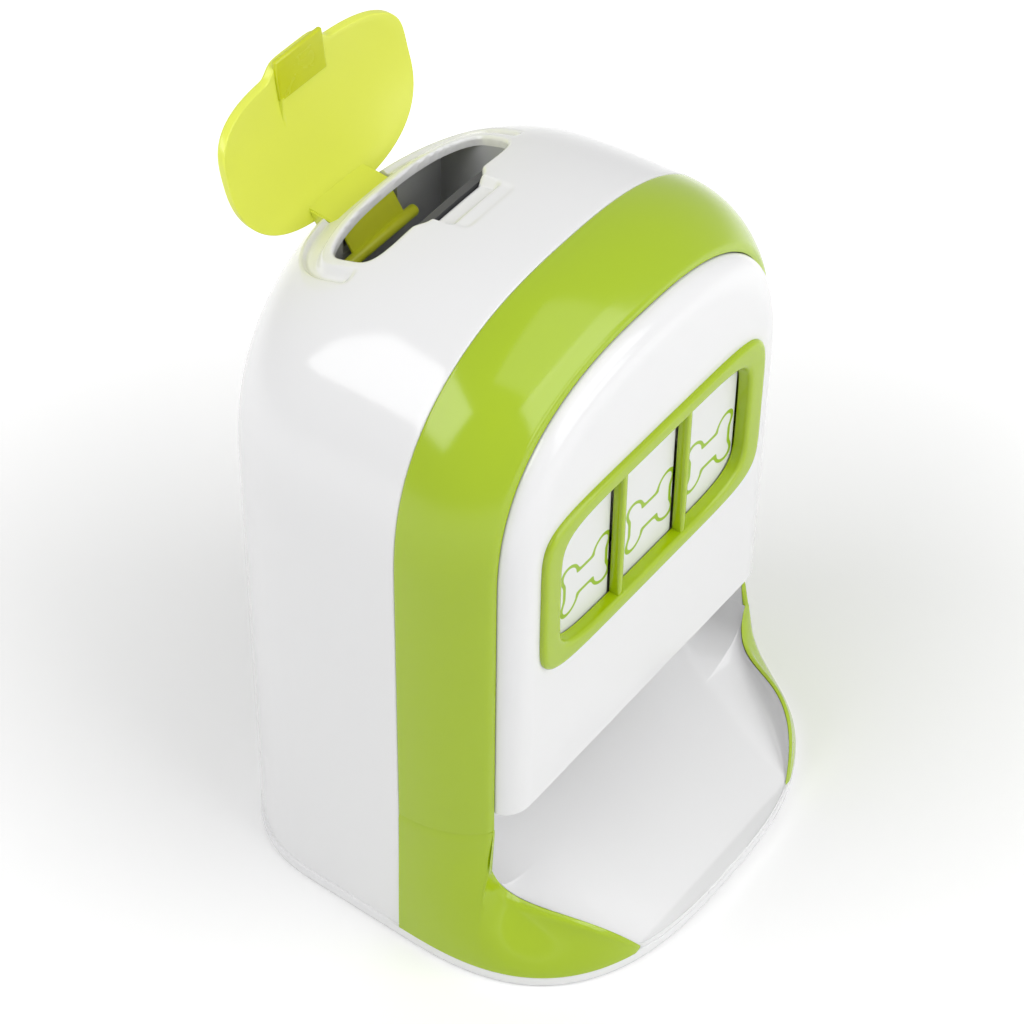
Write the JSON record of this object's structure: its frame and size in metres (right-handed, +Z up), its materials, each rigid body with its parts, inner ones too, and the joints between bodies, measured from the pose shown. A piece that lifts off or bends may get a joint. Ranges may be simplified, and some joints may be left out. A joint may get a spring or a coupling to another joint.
{
  "type": "remote treat dispenser",
  "caption": "Arch-topped pet treat dispenser with a hinged lid over a hopper, a window of printed belts, a geared rotor and a scooped tray below.",
  "frame": {"origin": "on the table, under the middle of the window's width and 42 mm behind the frame of the window, at the centre of the base", "axes": "+X to the right seen from the front, the front faces -Y, +Z up"},
  "size_m": [0.167, 0.1757, 0.2684],
  "materials": {
    "white_shell": "smooth gloss moulding",
    "green_trim": "lime green satin gloss moulding",
    "lid_green": "yellow-green gloss moulding",
    "hopper_grey": "dark grey satin moulding",
    "belt_grey": "light grey printed belt",
    "inner_white": "plain white moulding",
    "frame_cream": "natural nylon",
    "idler_amber": "amber acetal",
    "steel": "plain turned steel",
    "motor_can": "drawn steel can",
    "black_plastic": "black moulding",
    "board_green": "coated board",
    "cell_wrap": "printed cell sleeve",
    "contact_metal": "plated spring strip",
    "pad_rubber": "grey rubber pad"
  },
  "bodies": {
    "housing": {"rear_shell": "white_shell", "front_arch": "green_trim", "front_panel": "white_shell", "window_frame": "green_trim", "base_plate": "white_shell", "side_foot_left": "green_trim", "side_foot_right": "green_trim", "treat_tray": "white_shell", "hopper": "hopper_grey", "chute": "inner_white", "chassis_left": "frame_cream", "chassis_right": "frame_cream", "hinge_pin": "steel", "hinge_strap": "lid_green", "belt_left": "belt_grey", "belt_centre": "belt_grey", "belt_right": "belt_grey", "idler_pin": "steel", "drive_motor": "motor_can", "circuit_board": "board_green", "battery_box": "black_plastic", "batteries": "cell_wrap", "battery_contacts": "contact_metal", "battery_door": "white_shell", "door_screw": "steel", "switch_body": "black_plastic", "base_screws": "steel", "rubber_feet": "pad_rubber"},
    "lid": {"lid": "lid_green"},
    "drive": {"drive_roller": "frame_cream", "roller_shaft": "steel", "roller_gear": "frame_cream"},
    "upper_guide": {"upper_roller": "frame_cream"},
    "lower_guide": {"lower_roller": "frame_cream"},
    "idler": {"idler_gear": "idler_amber"},
    "rotor": {"dispense_rotor": "inner_white", "rotor_shaft": "steel", "rotor_gear": "frame_cream"},
    "pinion": {"motor_pinion": "steel"},
    "power_switch": {"switch_knob": "black_plastic"}
  },
  "joints": [
    {"name": "lid_hinge", "type": "hinge", "parent": "housing", "child": "lid", "pos_m": [0, 0.0747, 0.21726], "axis": [1, 0, 0], "range_deg": [0, 85]},
    {"name": "drive_spin", "type": "hinge", "parent": "housing", "child": "drive", "pos_m": [0, -0.003, 0.158], "axis": [1, 0, 0], "continuous": true},
    {"name": "upper_spin", "type": "hinge", "parent": "housing", "child": "upper_guide", "pos_m": [0, -0.027, 0.191], "axis": [1, 0, 0], "continuous": true},
    {"name": "lower_spin", "type": "hinge", "parent": "housing", "child": "lower_guide", "pos_m": [0, -0.027, 0.125], "axis": [1, 0, 0], "continuous": true},
    {"name": "idler_spin", "type": "hinge", "parent": "housing", "child": "idler", "pos_m": [0.057, 0.0217, 0.13927], "axis": [1, 0, 0], "continuous": true},
    {"name": "rotor_spin", "type": "hinge", "parent": "housing", "child": "rotor", "pos_m": [0, 0.048, 0.11933], "axis": [1, 0, 0], "continuous": true},
    {"name": "pinion_spin", "type": "hinge", "parent": "housing", "child": "pinion", "pos_m": [0.057, 0.05473, 0.09422], "axis": [1, 0, 0], "continuous": true},
    {"name": "switch_slide", "type": "slide", "parent": "housing", "child": "power_switch", "axis": [1, 0, 0], "range_m": [0, 0.006]}
  ],
  "couplings": [
    {"joint": "upper_spin", "follows": "drive_spin", "ratio": 1},
    {"joint": "lower_spin", "follows": "drive_spin", "ratio": 1},
    {"joint": "idler_spin", "follows": "drive_spin", "ratio": -1.3846},
    {"joint": "rotor_spin", "follows": "drive_spin", "ratio": 0.9},
    {"joint": "pinion_spin", "follows": "drive_spin", "ratio": -3}
  ]
}
